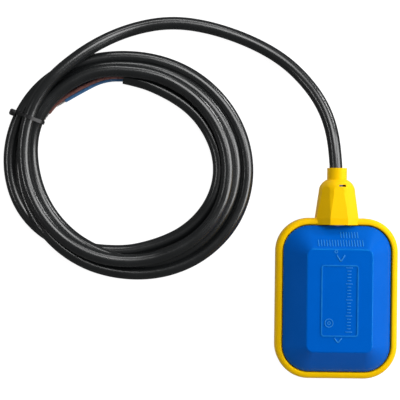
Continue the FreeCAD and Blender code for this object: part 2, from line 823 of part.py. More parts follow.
def route_wire(name, points):
    """Straight runs joined by tangent arcs, each as large as its two runs allow."""
    vectors = [Vector(*point) for point in points]
    edges = []
    radii = []
    here = vectors[0]
    for before, corner, after in zip(vectors, vectors[1:], vectors[2:]):
        into = corner - before
        out = after - corner
        turn = into.getAngle(out)
        reach = arc_share * min(into.Length, out.Length)
        radii.append(reach / math.tan(turn / 2))
        into.normalize()
        out.normalize()
        start = corner - into * reach
        end = corner + out * reach
        bisector = (out - into).normalize()
        depth = radii[-1] / math.cos(turn / 2) - radii[-1]
        middle = corner + bisector * depth
        edges.append(Part.LineSegment(here, start).toShape())
        edges.append(Part.Arc(start, middle, end).toShape())
        here = end
    edges.append(Part.LineSegment(here, vectors[-1]).toShape())
    wire = Part.Wire(edges)
    rounded = [round(radius, 1) for radius in radii]
    print(name, "length", round(wire.Length, 1), "radii", rounded)
    return wire


def tube(name, points, diameter):
    path = route_wire(name, points)
    direction = Vector(*points[1]) - Vector(*points[0])
    circle = Part.Circle(Vector(*points[0]), direction, diameter / 2)
    profile = Part.Wire(circle.toShape())
    solid = path.makePipeShell([profile], True, False)
    expected = path.Length * math.pi * diameter ** 2 / 4
    print(name, "volume over section times length", round(solid.Volume / expected, 4))
    return solid


def make_inner_core(name, y, z):
    """Core from the cable's inner end to the solder tab of one terminal."""
    points = [(0, cable_inner_end_y, z), (0, core_bend_y, z)]
    if switch_front_y - y > tab_reach / 2:
        points.append((lane_x, switch_front_y + core_switch_gap, z))
    points.append((lane_x, y, z))
    points.append((lane_x, y, tab_top_z))
    return tube(name, points, core_diameter)


def coil_column(reaches, growth, low_z, high_z):
    """Upright block whose smooth outline passes through the given reaches from the coil's centre."""
    points = []
    for step, reach in enumerate(reaches):
        turn = 2 * math.pi * step / len(reaches)
        x = coil_centre[0] + (reach + growth) * math.cos(turn)
        y = coil_centre[1] + (reach + growth) * math.sin(turn)
        points.append(Vector(x, y, low_z))
    outline = Part.BSplineCurve()
    outline.interpolate(Points=points, PeriodicFlag=True)
    face = Part.Face(Part.Wire(outline.toShape()))
    return face.extrude(Vector(0, 0, high_z - low_z))


def coil_body(inset):
    """Ring of the coil's outer shape, every face moved inwards by inset."""
    top_z = coil_height - inset
    outer = coil_column(coil_outer_reach, -inset, inset, top_z)
    inner = coil_column(coil_inner_reach, inset, inset, top_z)
    whole = outer.cut(inner)
    edges = level_edges(whole, inset) + level_edges(whole, top_z)
    return whole.makeFillet(coil_rounding - inset, edges)


def core_arc_point(angle, offset, z):
    """Point a given distance outside the ellipse that the cores follow."""
    turn = math.radians(angle)
    semi_x, semi_y = core_arc_semi
    normal = Vector(math.cos(turn) / semi_x, math.sin(turn) / semi_y, 0).normalize()
    x = core_arc_centre[0] + semi_x * math.cos(turn) + offset * normal.x
    y = core_arc_centre[1] + semi_y * math.sin(turn) + offset * normal.y
    return (x, y, z)


def tie_block(width):
    """Thin upright block that crosses the coil's bundle along the tie."""
    half = tie_block_length / 2
    block = box(-half, half, -width / 2, width / 2, -coil_height, 2 * coil_height)
    block.rotate(Vector(0, 0, 0), Vector(0, 0, 1), tie_direction)
    block.translate(Vector(tie_place[0], tie_place[1], 0))
    return block


def make_end_pocket():
    """Place on the coil's inner side where its last turn has ended and the cores lie."""
    centre = Vector(core_arc_centre[0], core_arc_centre[1], 0)
    semi_x = core_arc_semi[0] + end_pocket_depth
    semi_y = core_arc_semi[1] + end_pocket_depth
    ellipse = Part.Ellipse(centre, semi_x, semi_y).toShape()
    area = Part.Face(Part.Wire(ellipse)).extrude(Vector(0, 0, coil_height))
    corners = [centre]
    for angle in (end_pocket_from, (end_pocket_from + end_pocket_to) / 2, end_pocket_to):
        x, y, z = core_arc_point(angle, end_pocket_wedge, 0.0)
        corners.append(Vector(x, y, z))
    corners.append(centre)
    wedge = Part.Face(Part.makePolygon(corners)).extrude(Vector(0, 0, coil_height))
    return area.common(wedge)


def make_cable_coil():
    whole = coil_body(0.0)
    under_tie = coil_body(tie_thickness + tie_clearance)
    groove = whole.cut(under_tie).common(tie_block(tie_width + 2 * tie_clearance))
    return whole.cut(groove).cut(make_end_pocket())


def make_cable_tie():
    band = coil_body(0.0).cut(coil_body(tie_thickness)).common(tie_block(tie_width))
    low_z = (coil_height - tie_head_height) / 2
    high_z = low_z + tie_head_height
    outer = coil_column(coil_outer_reach, 0.0, low_z, high_z)
    wide = coil_column(coil_outer_reach, tie_head_length, low_z, high_z)
    head = tie_block(tie_head_width).common(wide).cut(outer)
    return band.fuse(head).removeSplitter()


def core_tip(points):
    """Tinned end that stands out of a core, along its last run."""
    end = Vector(*points[-1])
    direction = (end - Vector(*points[-2])).normalize()
    return Part.makeCylinder(strand_diameter / 2, strand_length, end, direction)


def build():
    washer, grommet, clamp_left, clamp_right = make_neck_stack()
    common, normally_open, normally_closed, contacts = make_terminals()
    closed_y, open_y, common_y = terminal_stations()
    low_z, middle_z, high_z = core_heights()
    seal = make_seal()
    nodes = {
        "rim_frame": make_rim_frame(),
        "front_shell": make_front_shell(),
        "rear_shell": mirrored(make_shell()),
        "front_seal": seal,
        "rear_seal": mirrored(seal),
        "neck_washer": washer,
        "neck_grommet": grommet,
        "cable_clamp_left": clamp_left,
        "cable_clamp_right": clamp_right,
        "resin_plug": make_resin_plug(),
        "neck_plug": make_neck_plug(),
        "spigot_seal": make_spigot_seal(),
        "switch_case": make_switch_case(),
        "case_gasket": make_case_gasket(),
        "case_lid": make_case_lid(),
        "case_screws": make_case_screws(),
        "tilt_ball": make_ball(),
        "rocker": make_rocker(),
        "rocker_pin": make_rocker_pin(),
        "snap_switch_body": make_switch_body(),
        "snap_switch_cover": make_switch_cover(),
        "plunger": make_plunger(),
        "terminal_common": common,
        "terminal_open": normally_open,
        "terminal_closed": normally_closed,
        "fixed_contacts": contacts,
        "snap_blade": make_snap_blade(),
        "moving_contact": make_moving_contact(),
        "inner_core_brown": make_inner_core("inner_core_brown", common_y, low_z),
        "inner_core_black": make_inner_core("inner_core_black", open_y, middle_z),
        "inner_core_blue": make_inner_core("inner_core_blue", closed_y, high_z),
        "cable_lead": tube("cable_lead", lead_start + lead_route, cable_diameter),
        "cable_coil": make_cable_coil(),
        "cable_tie": make_cable_tie(),
    }
    tips = []
    for colour, route in (("brown", brown_route), ("blue", blue_route), ("black", black_route)):
        points = [core_arc_point(*station) for station in route]
        nodes["core_" + colour] = tube("core_" + colour, points, core_diameter)
        tips.append(core_tip(points))
    nodes["tinned_ends"] = Part.makeCompound(tips)
    return nodes


def main():
    os.makedirs("parts", exist_ok=True)
    for name, shape in build().items():
        shape.exportStep("parts/" + name + ".step")
        solids = len(shape.Solids)
        print(name, "volume", round(shape.Volume, 1), "valid", shape.isValid(), "solids", solids)


main()
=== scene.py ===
import json
import math

import bmesh
import bpy
from mathutils import Matrix, Vector


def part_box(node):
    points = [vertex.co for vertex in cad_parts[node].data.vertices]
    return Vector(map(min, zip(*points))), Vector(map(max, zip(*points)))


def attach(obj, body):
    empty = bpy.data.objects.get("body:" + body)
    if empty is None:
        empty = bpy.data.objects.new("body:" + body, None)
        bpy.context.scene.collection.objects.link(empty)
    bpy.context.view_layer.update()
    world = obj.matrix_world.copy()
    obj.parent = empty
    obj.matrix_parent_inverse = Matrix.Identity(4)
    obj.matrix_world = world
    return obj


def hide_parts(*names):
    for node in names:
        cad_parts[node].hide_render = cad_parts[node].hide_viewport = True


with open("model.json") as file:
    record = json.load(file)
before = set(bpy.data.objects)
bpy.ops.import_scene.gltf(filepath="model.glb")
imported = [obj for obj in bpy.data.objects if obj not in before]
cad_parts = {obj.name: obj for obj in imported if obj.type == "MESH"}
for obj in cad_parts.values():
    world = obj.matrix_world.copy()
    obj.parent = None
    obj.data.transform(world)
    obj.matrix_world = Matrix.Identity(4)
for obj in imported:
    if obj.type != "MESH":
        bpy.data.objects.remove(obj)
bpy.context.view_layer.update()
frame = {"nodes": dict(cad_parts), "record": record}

bl_info = {
    "name": "Cable Float Switch",
    "version": (1, 0, 0),
    "blender": (4, 5, 0),
    "location": "3D View > Sidebar > Float Switch",
    "description": "Dresses the packed float switch with its cable, tie, cores, marks and finishes",
    "category": "Object",
}

MM = 0.001
SHELL_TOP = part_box("front_shell")[1]
SEAL_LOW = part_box("front_seal")[0]
FRAME_LOW, FRAME_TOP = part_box("rim_frame")
MID_Z = (FRAME_LOW.z + FRAME_TOP.z) / 2
BORDER_HEIGHT = 0.4 * MM
PANEL_Z = SHELL_TOP.z - BORDER_HEIGHT

# Cable from its clamped end inside the neck to the top of the coil, in millimetres
LEAD_ROUTE = [
    (0.0, 43.5, 20.5),
    (0.0, 76.5, 20.5),
    (-6.6, 108.5, 14.5),
    (-25.2, 134.4, 7.0),
    (-48.3, 150.9, 4.25),
    (-80.3, 163.0, 4.25),
    (-110.5, 167.4, 4.25),
    (-138.9, 161.9, 4.6),
    (-163.8, 149.0, 11.0),
    (-184.6, 132.4, 14.0),
]

# Radius of the jacket in millimetres
CABLE_RADIUS = 4.25

# Four turns of the coil: angle run through, distance from the coil's middle and height, in millimetres
COIL_MIDDLE = (-139.5, 69.8)
COIL_STATIONS = [
    (125.0, 77.1, 14.0), (139.0, 74.4, 13.8), (154.0, 72.4, 13.6), (166.0, 70.2, 12.6),
    (180.0, 68.6, 11.8), (195.0, 66.8, 12.0), (225.0, 64.7, 13.0), (253.0, 64.0, 14.0),
    (275.0, 64.2, 12.6), (300.0, 65.7, 11.8), (330.0, 68.5, 11.6), (358.0, 67.8, 11.6),
    (392.0, 65.0, 11.6), (420.0, 63.1, 11.6), (453.0, 62.8, 11.6), (467.0, 65.3, 11.6),
    (482.0, 66.2, 11.6), (497.0, 66.9, 11.5), (510.0, 67.4, 11.0), (523.0, 66.4, 8.8),
    (537.0, 64.4, 5.6), (552.0, 62.5, 4.3), (578.0, 60.8, 4.3), (604.0, 61.0, 5.2),
    (617.0, 62.0, 6.8), (630.0, 64.1, 6.4), (642.0, 66.9, 4.8), (664.0, 70.2, 4.25),
    (690.0, 72.6, 4.25), (718.0, 73.3, 4.25), (765.0, 68.6, 4.25), (808.0, 66.4, 4.25),
    (840.0, 69.8, 4.6), (874.0, 71.4, 5.6), (900.0, 72.0, 4.8), (925.0, 71.0, 5.6),
    (941.0, 70.4, 8.6), (955.0, 70.7, 8.2), (970.0, 71.5, 5.2), (990.0, 72.6, 4.25),
    (1035.0, 79.0, 4.25), (1056.0, 81.2, 4.25), (1080.0, 80.9, 4.25), (1125.0, 75.7, 4.25),
    (1155.0, 73.1, 4.25), (1178.0, 73.3, 4.25), (1205.0, 77.3, 4.4), (1220.0, 79.0, 5.1),
    (1234.0, 79.6, 5.5), (1256.0, 79.7, 4.6), (1280.0, 77.4, 4.25), (1295.0, 73.6, 4.25),
    (1309.0, 68.6, 4.25), (1323.0, 63.2, 4.25), (1336.0, 59.6, 4.25), (1352.0, 57.7, 4.25),
    (1370.0, 56.7, 4.25), (1390.0, 58.7, 4.25), (1420.0, 61.9, 4.25), (1440.0, 62.1, 4.25),
    (1462.0, 59.5, 4.25), (1486.0, 56.8, 4.25), (1500.0, 55.6, 4.25), (1512.0, 55.9, 4.25),
    (1524.0, 57.5, 4.25), (1533.0, 59.2, 4.25),
]

# Angle between two control points of the coil in degrees
COIL_STEP = 12.0

# Cores where the jacket ends, tucked under the turn beside them, in millimetres
CORE_ROUTES = {
    "brown": [
        (-142.5, 129.1, 5.4), (-150.7, 129.4, 4.6), (-158.2, 128.0, 4.0), (-164.2, 125.5, 3.6),
        (-169.6, 122.9, 3.3), (-175.7, 119.6, 3.0), (-181.1, 116.4, 2.6), (-185.9, 113.0, 2.0),
        (-190.4, 108.9, 1.6), (-193.4, 104.8, 1.4)],
    "blue": [
        (-142.5, 127.5, 4.25), (-148.8, 127.9, 3.0), (-155.7, 126.9, 1.8), (-161.1, 125.1, 1.4),
        (-165.8, 122.7, 1.4), (-172.6, 118.9, 1.4), (-179.3, 115.0, 1.4), (-182.5, 113.1, 1.4)],
    "black": [
        (-142.7, 130.1, 2.9), (-151.0, 131.2, 1.6), (-158.4, 130.2, 1.4), (-165.2, 128.0, 1.4),
        (-172.0, 124.6, 1.4), (-178.0, 121.0, 1.4), (-183.4, 117.0, 1.4)],
}
CORE_COLOURS = {"brown": (0.17, 0.07, 0.06), "blue": (0.04, 0.125, 0.27), "black": (0.012, 0.012, 0.013)}


def metres(point):
    return Vector(point) * MM


# Shader nodes


class Signal:
    """A shader socket that adds Math nodes when it is used in arithmetic."""

    def __init__(self, finish, socket):
        self.finish = finish
        self.socket = socket

    def maths(self, operation, first, second):
        return self.finish.add("ShaderNodeMath", {"operation": operation}, {0: first, 1: second})

    def __add__(self, other):
        return self.maths("ADD", self, other)

    def __radd__(self, other):
        return self.maths("ADD", other, self)

    def __sub__(self, other):
        return self.maths("SUBTRACT", self, other)

    def __rsub__(self, other):
        return self.maths("SUBTRACT", other, self)

    def __mul__(self, other):
        return self.maths("MULTIPLY", self, other)

    def __rmul__(self, other):
        return self.maths("MULTIPLY", other, self)

    def above(self, level):
        return self.maths("GREATER_THAN", self, level)


class Finish:
    """One surface finish: a material whose nodes are added one by one."""

    def __init__(self, name, **constants):
        self.material = bpy.data.materials.new(name)
        self.material.use_nodes = True
        self.nodes = self.material.node_tree.nodes
        self.links = self.material.node_tree.links
        self.shader = self.nodes["Principled BSDF"]
        for label, value in constants.items():
            self.shader.inputs[label.replace("_", " ")].default_value = value

    def add(self, kind, settings, sockets, output=0):
        node = self.nodes.new(kind)
        for key, value in settings.items():
            if key == "stops":
                ramp = node.color_ramp.elements
                while len(ramp) < len(value):
                    ramp.new(0.5)
                for stop, (position, colour) in zip(ramp, value):
                    stop.position = position
                    stop.color = colour
            else:
                setattr(node, key, value)
        for key, value in sockets.items():
            if isinstance(value, Signal):
                self.links.new(value.socket, node.inputs[key])
            else:
                node.inputs[key].default_value = value
        return Signal(self, node.outputs[output])

    def feed(self, label, signal):
        self.links.new(signal.socket, self.shader.inputs[label])

    def place(self, stretch=(1.0, 1.0, 1.0)):
        spot = self.add("ShaderNodeTexCoord", {}, {}, "Object")
        return self.add("ShaderNodeMapping", {}, {"Vector": spot, "Scale": stretch})

    def noise(self, size, detail=3.0, stretch=(1.0, 1.0, 1.0)):
        """Cloudy pattern between 0 and 1 whose patches are about size metres across."""
        sockets = {"Vector": self.place(stretch), "Scale": 1.0 / size, "Detail": detail}
        return self.add("ShaderNodeTexNoise", {}, sockets, "Fac")

    def specks(self, size, level):
        """1 on small scattered spots, 0 elsewhere."""
        sockets = {"Vector": self.place(), "Scale": 1.0 / size}
        distance = self.add("ShaderNodeTexVoronoi", {}, sockets, "Distance")
        return 1.0 - distance.above(level)

    def ramp(self, signal, low, high):
        stops = [(0.0, low), (1.0, high)]
        return self.add("ShaderNodeValToRGB", {"stops": stops}, {"Fac": signal}, "Color")

    def mix(self, share, first, second):
        settings = {"data_type": "RGBA"}
        return self.add("ShaderNodeMix", settings, {0: share, 6: first, 7: second}, 2)

    def bump(self, height, strength, distance):
        sockets = {"Strength": strength, "Distance": distance, "Height": height}
        self.feed("Normal", self.add("ShaderNodeBump", {}, sockets, "Normal"))


# Lighter colour that raised marks are mixed towards as a painted highlight, and the share of it
MARK_HIGHLIGHT_COLOUR = Vector((0.1, 0.8, 1.0))
MARK_HIGHLIGHT_SHARE = 0.25


def tinted(colour, factor):
    """The colour made lighter or darker, as a four-part value."""
    return tuple(min(1.0, part * factor) for part in colour[:3]) + (1.0,)


def moulded_plastic(name, colour, roughness, grain=0.25, gloss=0.5, sheen=(1.0, 1.0, 1.0), highlight_above=None):
    """Satin moulding: faint cloudy colour, a fine mould grain and a few dust specks.

    Above the given height the surface is lighter in patches: a painted highlight on the raised marks.
    """
    finish = Finish(name, Specular_IOR_Level=gloss, Specular_Tint=(*sheen, 1.0))
    clouds = finish.noise(14 * MM, 4.0)
    dust = finish.specks(2.2 * MM, 0.045)
    body = finish.ramp(clouds, tinted(colour, 0.93), tinted(colour, 1.05))
    body = finish.mix(dust * 0.35, body, tinted(colour, 1.6))
    # Painted highlight: above the given height, patches are mixed towards a lighter colour
    if highlight_above:
        height = finish.add("ShaderNodeSeparateXYZ", {}, {"Vector": finish.place()}, "Z")
        painted_highlight = height.above(highlight_above) * (0.1 + 0.5 * finish.noise(4 * MM, 2.0))
        highlight_colour = Vector(colour).lerp(MARK_HIGHLIGHT_COLOUR, MARK_HIGHLIGHT_SHARE)
        body = finish.mix(painted_highlight, body, (*highlight_colour, 1.0))
    finish.feed("Base Color", body)
    finish.feed("Roughness", roughness + (clouds - 0.5) * 0.12 + dust * 0.2)
    fine = finish.noise(0.35 * MM, 2.0)
    ripple = finish.noise(9 * MM, 1.0)
    finish.bump(fine * grain + ripple * 0.6, 0.35, 0.08 * MM)
    return finish.material


def extruded_jacket(name, colour, roughness):
    """Cable rubber: draw lines along the length, scuffs and dust."""
    finish = Finish(name, Specular_IOR_Level=0.9)
    span = finish.add("ShaderNodeUVMap", {}, {}, "UV")
    lines = finish.add("ShaderNodeMapping", {}, {"Vector": span, "Scale": (5.0, 60.0, 1.0)})
    draw = finish.add("ShaderNodeTexNoise", {}, {"Vector": lines, "Scale": 1.0, "Detail": 4.0}, "Fac")
    scuff = finish.noise(18 * MM, 5.0)
    grit = finish.noise(0.5 * MM, 2.0)
    dust = finish.specks(1.6 * MM, 0.05)
    body = finish.ramp(scuff, tinted(colour, 0.7), tinted(colour, 1.5))
    finish.feed("Base Color", finish.mix(dust * 0.3, body, tinted(colour, 5.0)))
    finish.feed("Roughness", roughness + (scuff - 0.5) * 0.22 + (draw - 0.5) * 0.08)
    finish.bump(draw * 0.5 + grit * 0.1, 0.1, 0.12 * MM)
    return finish.material


def drawn_insulation(name, colour):
    """Glossy core insulation with a faint waxy variation."""
    finish = Finish(name, Specular_IOR_Level=0.55)
    wax = finish.noise(3 * MM, 3.0)
    body = finish.ramp(wax, tinted(colour, 0.8), tinted(colour, 1.25))
    finish.feed("Base Color", body)
    finish.feed("Roughness", 0.28 + (wax - 0.5) * 0.2)
    finish.bump(wax, 0.2, 0.05 * MM)
    return finish.material


def worked_metal(name, colour, roughness, stretch=(1.0, 1.0, 1.0)):
    """Metal with fine marks, stretched where it was drawn or turned."""
    finish = Finish(name, Metallic=1.0)
    marks = finish.noise(0.8 * MM, 4.0, stretch)
    stain = finish.noise(5 * MM, 3.0)
    body = finish.ramp(stain, tinted(colour, 0.82), tinted(colour, 1.08))
    finish.feed("Base Color", body)
    finish.feed("Roughness", roughness + (marks - 0.5) * 0.25)
    finish.bump(marks, 0.15, 0.02 * MM)
    return finish.material


def cast_resin(name, colour):
    finish = Finish(name, Coat_Weight=0.5)
    flow = finish.noise(4 * MM, 4.0)
    finish.feed("Base Color", finish.ramp(flow, tinted(colour, 0.7), tinted(colour, 1.4)))
    finish.feed("Roughness", 0.2 + flow * 0.2)
    finish.bump(flow, 0.2, 0.1 * MM)
    return finish.material


# Sizes and colours that a user would change


class FloatColours(bpy.types.PropertyGroup):
    rim: bpy.props.FloatVectorProperty(
        name="Rim", description="Colour of the rim frame and its neck", subtype="COLOR", size=3,
        default=(0.93, 0.55, 0.001))
    shell: bpy.props.FloatVectorProperty(
        name="Shell", description="Colour of the two shells", subtype="COLOR", size=3,
        default=(0.0, 0.104, 0.535))
    jacket: bpy.props.FloatVectorProperty(
        name="Jacket", description="Colour of the cable's jacket", subtype="COLOR", size=3,
        default=(0.0075, 0.0085, 0.009))


class CableSizes(bpy.types.PropertyGroup):
    diameter: bpy.props.FloatProperty(
        name="Cable diameter", description="Outside diameter of the jacket", unit="LENGTH",
        default=2 * CABLE_RADIUS * MM)
    length: bpy.props.FloatProperty(
        name="Cable length", description="Length from the neck to the jacket's cut end",
        unit="LENGTH", default=2.0)
    core_diameter: bpy.props.FloatProperty(
        name="Core diameter", description="Outside diameter of one insulated core",
        unit="LENGTH", default=2.6 * MM)
    strand_diameter: bpy.props.FloatProperty(
        name="Strand diameter", description="Diameter of a core's twisted bare strands",
        unit="LENGTH", default=1.6 * MM)
    strand_length: bpy.props.FloatProperty(
        name="Strand length", description="How far the bare strands stand out", unit="LENGTH",
        default=7.0 * MM)
    tie_width: bpy.props.FloatProperty(
        name="Tie width", description="Width of the tie's strap", unit="LENGTH", default=2.3 * MM)


class StageSizes(bpy.types.PropertyGroup):
    camera_height: bpy.props.FloatProperty(
        name="Camera height", description="Height of the camera over the floor", unit="LENGTH",
        default=0.684)
    camera_turn: bpy.props.FloatProperty(
        name="Camera turn", description="Turn of the camera about the vertical", subtype="ANGLE",
        default=math.radians(0.69))
    lens: bpy.props.FloatProperty(
        name="Lens", description="Focal length in millimetres", default=90.5)
    key_power: bpy.props.FloatProperty(
        name="Key light", description="Power of the light on the right in watts", default=12.0)


# Pieces


def finished(name, mesh_or_curve, material):
    """Links an object to the scene, gives it its material and lets it ride on the float."""
    piece = bpy.data.objects.new(name, mesh_or_curve)
    bpy.context.scene.collection.objects.link(piece)
    piece.data.materials.append(material)
    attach(piece, "float")
    return piece


def mesh_from(shape, name, shade_angle=35.0):
    """Turns a bmesh into a mesh with its normals outwards and its sharp edges kept."""
    bmesh.ops.recalc_face_normals(shape, faces=shape.faces)
    mesh = bpy.data.meshes.new(name)
    shape.to_mesh(mesh)
    shape.free()
    mesh.shade_smooth()
    mesh.set_sharp_from_angle(angle=math.radians(shade_angle))
    return mesh


def soft_line(name, points, diameter, sides=10):
    """One smooth open cord through control points given in metres."""
    curve = bpy.data.curves.new(name, "CURVE")
    curve.dimensions = "3D"
    spline = curve.splines.new("NURBS")
    spline.points.add(len(points) - 1)
    for control, point in zip(spline.points, points):
        control.co = (*point, 1.0)
    spline.order_u = 3
    spline.use_endpoint_u = True
    spline.resolution_u = 8
    curve.bevel_depth = diameter / 2
    curve.bevel_resolution = sides
    curve.use_fill_caps = True
    return curve


def coil_point(turn, reach, height):
    angle = math.radians(turn)
    x = COIL_MIDDLE[0] + reach * math.cos(angle)
    y = COIL_MIDDLE[1] + reach * math.sin(angle)
    return metres((x, y, height))


def flowing(stations, place, part, turn):
    """Value of one part of the stations at a turn, on a smooth curve through its neighbours."""
    last = len(stations) - 1
    around = [stations[min(max(place + step, 0), last)] for step in (-1, 0, 1, 2)]
    width = around[2][0] - around[1][0]
    pairs = zip(around, around[2:])
    rise = [(high[part] - low[part]) / max(high[0] - low[0], 1.0) for low, high in pairs]
    share = (turn - around[1][0]) / width
    mix = share * share * (3.0 - 2.0 * share)
    level = around[1][part] + (around[2][part] - around[1][part]) * mix
    start = rise[0] * share * (1.0 - share) ** 2
    end = rise[1] * share * share * (share - 1.0)
    return level + width * (start + end)


def coil_station(turn):
    """Distance from the middle and height of the cable after it has run through this angle."""
    place = 0
    while place < len(COIL_STATIONS) - 2 and turn > COIL_STATIONS[place + 1][0]:
        place += 1
    reach = flowing(COIL_STATIONS, place, 1, turn)
    return reach, max(flowing(COIL_STATIONS, place, 2, turn), CABLE_RADIUS)


def coil_points():
    """Control points of the four turns, set a little outside so that the smooth line keeps its size."""
    first = COIL_STATIONS[0][0]
    last = COIL_STATIONS[-1][0]
    count = round((last - first) / COIL_STEP)
    spread = 1.0 / math.cos(math.radians(COIL_STEP / 2))
    points = []
    for step in range(1, count + 1):
        turn = first + (last - first) * step / count
        reach, height = coil_station(turn)
        points.append(coil_point(turn, reach * spread if step < count else reach, height))
    return points


class FLOATSWITCH_OT_cable(bpy.types.Operator):
    """Cable: from the neck round into four tied turns, as one smooth cord"""

    bl_idname = "floatswitch.cable"
    bl_label = "Cable"

    def execute(self, context):
        sizes = context.scene.cable_sizes
        colour = context.scene.float_colours.jacket
        points = [metres(point) for point in LEAD_ROUTE] + coil_points()
        curve = soft_line("cable", points, sizes.diameter)
        jacket = extruded_jacket("cable_rubber", colour, 0.25)
        cable = finished("cable", curve, jacket)
        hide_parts("cable_lead", "cable_coil")
        return {"FINISHED"}


def twisted_strands(name, start, direction, sizes):
    """Seven twisted strands: a lobed outline that turns as it is drawn out, with a domed tip."""
    lobes = 7
    sides = 56
    stages = 18
    whole_twist = 160.0
    radius = sizes.strand_diameter / 2
    shape = bmesh.new()
    ring = bmesh.ops.create_circle(shape, cap_ends=True, segments=sides, radius=radius)["verts"]
    for vert in ring:
        turn = math.atan2(vert.co.y, vert.co.x)
        vert.co *= 0.9 + 0.1 * math.cos(lobes * turn)
    faces = shape.faces[:]
    twist = Matrix.Rotation(math.radians(whole_twist / stages), 3, "Z")
    for stage in range(stages):
        grown = bmesh.ops.extrude_face_region(shape, geom=faces)["geom"]
        faces = [item for item in grown if isinstance(item, bmesh.types.BMFace)]
        verts = [item for item in grown if isinstance(item, bmesh.types.BMVert)]
        bmesh.ops.translate(shape, verts=verts, vec=(0, 0, sizes.strand_length / stages))
        bmesh.ops.rotate(shape, verts=verts, cent=(0, 0, 0), matrix=twist)
        if stage >= stages - 2:
            bmesh.ops.scale(shape, verts=verts, vec=(0.82, 0.82, 1.0))
    turn = Vector((0, 0, 1)).rotation_difference(direction).to_matrix()
    bmesh.ops.rotate(shape, verts=shape.verts, cent=(0, 0, 0), matrix=turn)
    bmesh.ops.translate(shape, verts=shape.verts, vec=start)
    return mesh_from(shape, name, 60.0)


class FLOATSWITCH_OT_cores(bpy.types.Operator):
    """Cores: three insulated cores that leave the cut jacket, with tinned strands at their ends"""

    bl_idname = "floatswitch.cores"
    bl_label = "Cores"

    def execute(self, context):
        sizes = context.scene.cable_sizes
        tinned = worked_metal("tinned_copper", (0.70, 0.68, 0.65), 0.33)
        for colour, route in CORE_ROUTES.items():
            points = [metres(point) for point in route]
            direction = (points[-1] - points[-2]).normalized()
            curve = soft_line("core_" + colour, points, sizes.core_diameter, 4)
            insulation = drawn_insulation(colour + "_insulation", CORE_COLOURS[colour])
            core = finished("core_" + colour, curve, insulation)
            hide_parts("core_" + colour)
            mesh = twisted_strands("tinned_end_" + colour, points[-1], direction, sizes)
            tip = finished("tinned_end_" + colour, mesh, tinned)
            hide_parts("tinned_ends")
            runs = zip(points, points[1:])
            length = sum((after - before).length for before, after in runs)
        return {"FINISHED"}


class FLOATSWITCH_OT_tie(bpy.types.Operator):
    """Cable tie: a strap drawn tight round the four turns, its locking head and a cut tail"""

    bl_idname = "floatswitch.tie"
    bl_label = "Cable Tie"

    def execute(self, context):
        sizes = context.scene.cable_sizes
        nylon = moulded_plastic("tie_nylon", (0.012, 0.012, 0.013), 0.32, 0.1)
        strap = finished("cable_tie_strap", tie_strap(sizes), nylon)
        head = finished("cable_tie_head", tie_head(sizes), nylon)
        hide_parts("cable_tie")
        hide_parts("cable_tie")
        return {"FINISHED"}


# Middle of the tie's strap over the bundle in millimetres, and the way it points outwards
TIE_PLACE = (-203.4, 100.2)
TIE_DIRECTION = math.radians(159.4)
TIE_THICKNESS = 1.1 * MM

# Locking head of the tie: its size, height, how far it sits into the bundle and how far along the cable
TIE_HEAD_SIZE = (4.0 * MM, 4.4 * MM, 5.0 * MM)
TIE_HEAD_HEIGHT = 7.6 * MM
TIE_HEAD_INSET = 1.6 * MM
TIE_HEAD_ASIDE = 0.8 * MM
TIE_MOUTH_SIZE = (1.0 * MM, 3.4 * MM, 3.8 * MM)
TIE_TAIL_LENGTH = 2.6 * MM
TIE_TAIL_PLACE = 2.4 * MM


def tie_places():
    """Where each of the four turns passes through the tie: distance outwards from its middle, height."""
    offset = Vector(TIE_PLACE) - Vector(COIL_MIDDLE)
    outwards = Vector((math.cos(TIE_DIRECTION), math.sin(TIE_DIRECTION)))
    start = offset.dot(outwards)
    aside = offset.length_squared - start * start
    turn = math.degrees(math.atan2(offset.y, offset.x))
    places = []
    for lap in range(4):
        reach, height = coil_station(turn + 360.0 * lap)
        places.append((math.sqrt(reach * reach - aside) - start, height))
    return places


def set_across_coil(shape):
    """Moves a shape drawn as (outwards, along the cable, height) to the tie's place."""
    turn = Matrix.Rotation(TIE_DIRECTION, 3, "Z")
    bmesh.ops.rotate(shape, verts=shape.verts, cent=(0, 0, 0), matrix=turn)
    bmesh.ops.translate(shape, verts=shape.verts, vec=metres((*TIE_PLACE, 0.0)))


def tie_strap(sizes):
    """Outer wall of the hull round four rods, thickened inwards."""
    shape = bmesh.new()
    upright = Matrix.Rotation(math.pi / 2, 4, "X")
    radius = sizes.diameter / 2 + TIE_THICKNESS
    for reach, height in tie_places():
        place = Matrix.Translation((reach * MM, 0, height * MM)) @ upright
        bmesh.ops.create_cone(shape, cap_ends=False, segments=48, radius1=radius, radius2=radius,
                              depth=sizes.tie_width, matrix=place)
    bmesh.ops.delete(shape, geom=shape.faces[:], context="FACES_ONLY")
    hull = bmesh.ops.convex_hull(shape, input=shape.verts[:])
    spare = [item for item in hull["geom_interior"] if isinstance(item, bmesh.types.BMVert)]
    bmesh.ops.delete(shape, geom=spare, context="VERTS")
    caps = [face for face in shape.faces if abs(face.normal.y) > 0.5]
    bmesh.ops.delete(shape, geom=caps, context="FACES")
    bmesh.ops.recalc_face_normals(shape, faces=shape.faces)
    bmesh.ops.solidify(shape, geom=shape.faces[:], thickness=TIE_THICKNESS)
    set_across_coil(shape)
    return mesh_from(shape, "cable_tie_strap", 40.0)


def bevelled_block(shape, size, centre, rounding, segments=3):
    """Adds a block with rounded edges, its size and centre in metres, and returns its vertices."""
    before = set(shape.verts)
    block = bmesh.ops.create_cube(shape, size=1.0)["verts"]
    bmesh.ops.scale(shape, verts=block, vec=size)
    bmesh.ops.translate(shape, verts=block, vec=centre)
    edges = list({edge for vert in block for edge in vert.link_edges})
    bmesh.ops.bevel(shape, geom=edges, offset=rounding, offset_type="OFFSET", segments=segments,
                    profile=0.5, affect="EDGES", material=-1)
    return [vert for vert in shape.verts if vert not in before]


